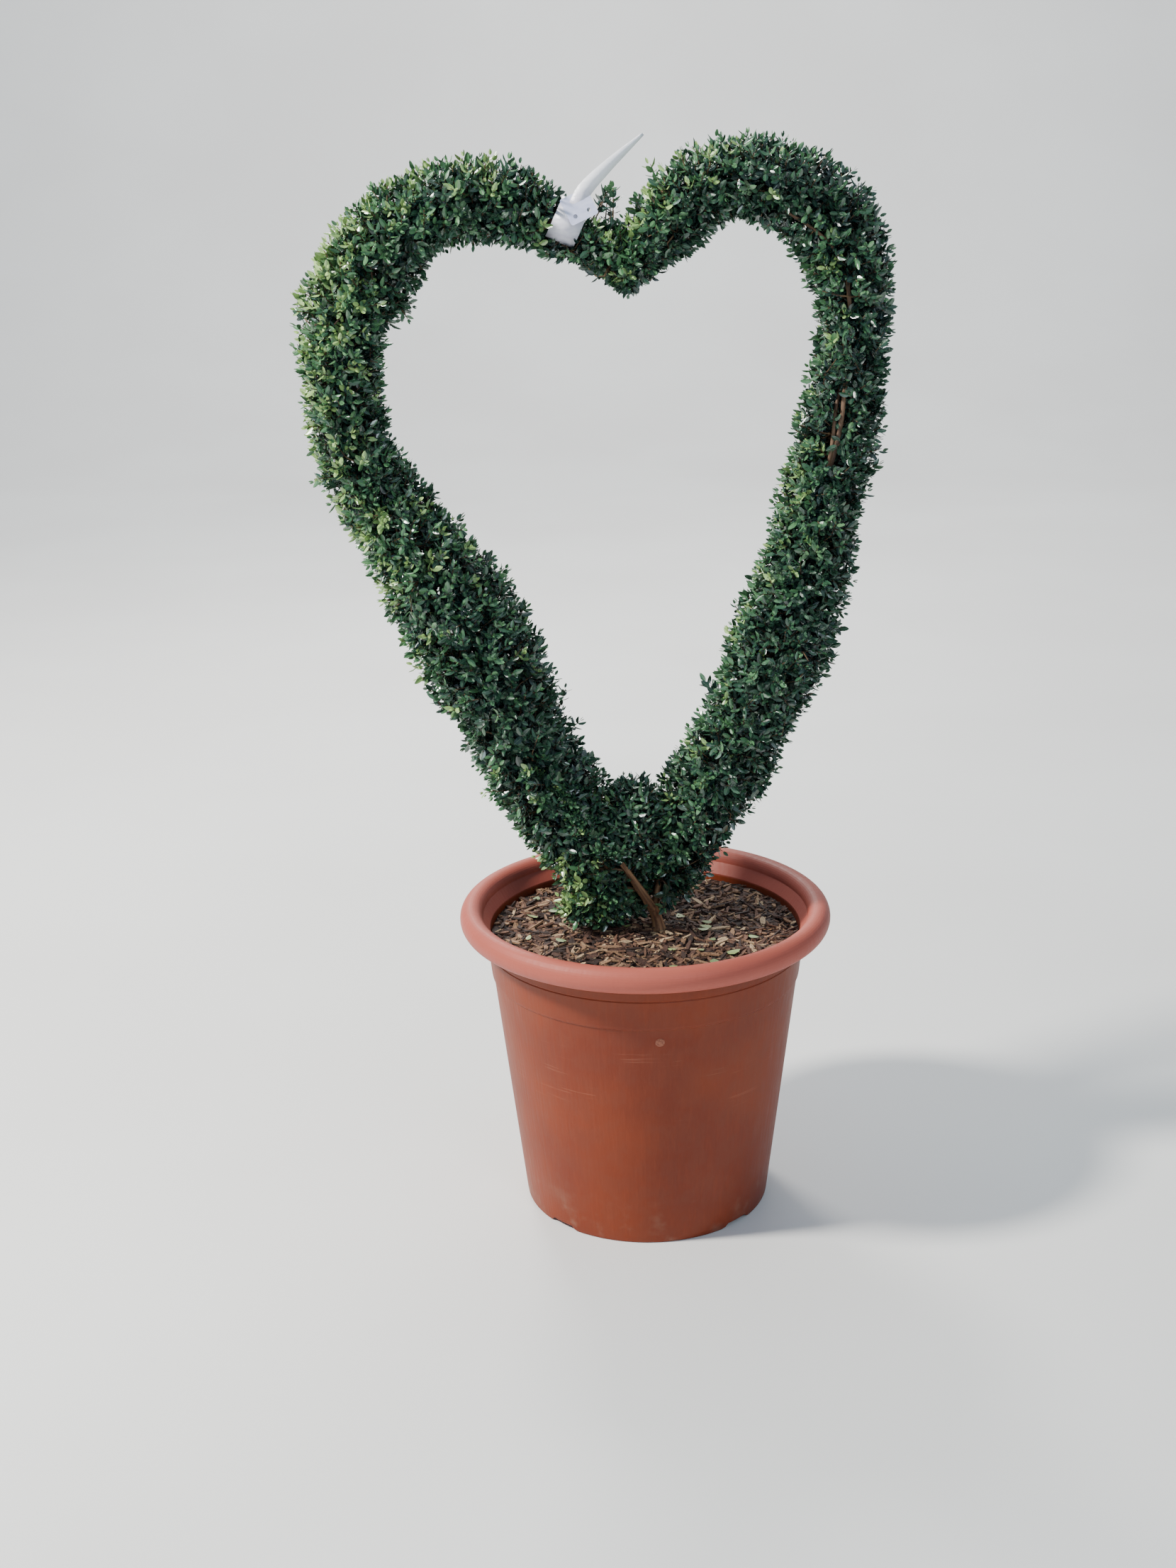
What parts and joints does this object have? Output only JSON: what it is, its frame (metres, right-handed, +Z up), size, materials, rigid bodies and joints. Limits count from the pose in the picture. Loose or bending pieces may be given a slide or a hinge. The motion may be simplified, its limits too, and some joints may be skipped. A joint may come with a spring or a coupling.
{
  "type": "heart-shaped potted box honeysuckle",
  "caption": "evergreen garden shrub with small glossy leaves, trained on twin stems into an open upright heart, in a round tapered pot with a rolled rim and wood chips on the soil",
  "frame": {"origin": "the middle of the pot's flat underside", "axes": "+Z up; the heart lies in a plane across Y and its front faces -Y; +X is to the right seen from the front"},
  "size_m": [0.6092, 0.4, 1.1401],
  "materials": {
    "terracotta_plastic": "matt moulded plastic with faint vertical brushing",
    "potting_soil": "damp, crumbly potting soil",
    "wood_chips": "loose bark and wood chips",
    "bark": "thin flaking bark",
    "foliage": "small glossy leaves, dark with fresh light tips",
    "label_plastic": "thin white film, blank"
  },
  "bodies": {
    "root": {"pot": "terracotta_plastic", "potting_soil": "potting_soil", "wood_chips": "wood_chips", "trunk": "bark", "left_stem_lower": "bark", "left_stem_shoulder": "bark", "left_stem_top": "bark", "right_stem_lower": "bark", "right_stem_shoulder": "bark", "right_stem_top": "bark", "foliage_heart_point": "foliage", "foliage_left_arm_low": "foliage", "foliage_left_arm_high": "foliage", "foliage_left_side": "foliage", "foliage_left_shoulder": "foliage", "foliage_left_lobe": "foliage", "foliage_heart_dip": "foliage", "foliage_right_arm_low": "foliage", "foliage_right_arm_high": "foliage", "foliage_right_side": "foliage", "foliage_right_shoulder": "foliage", "foliage_right_lobe": "foliage", "loop_label": "label_plastic"}
  },
  "joints": []
}
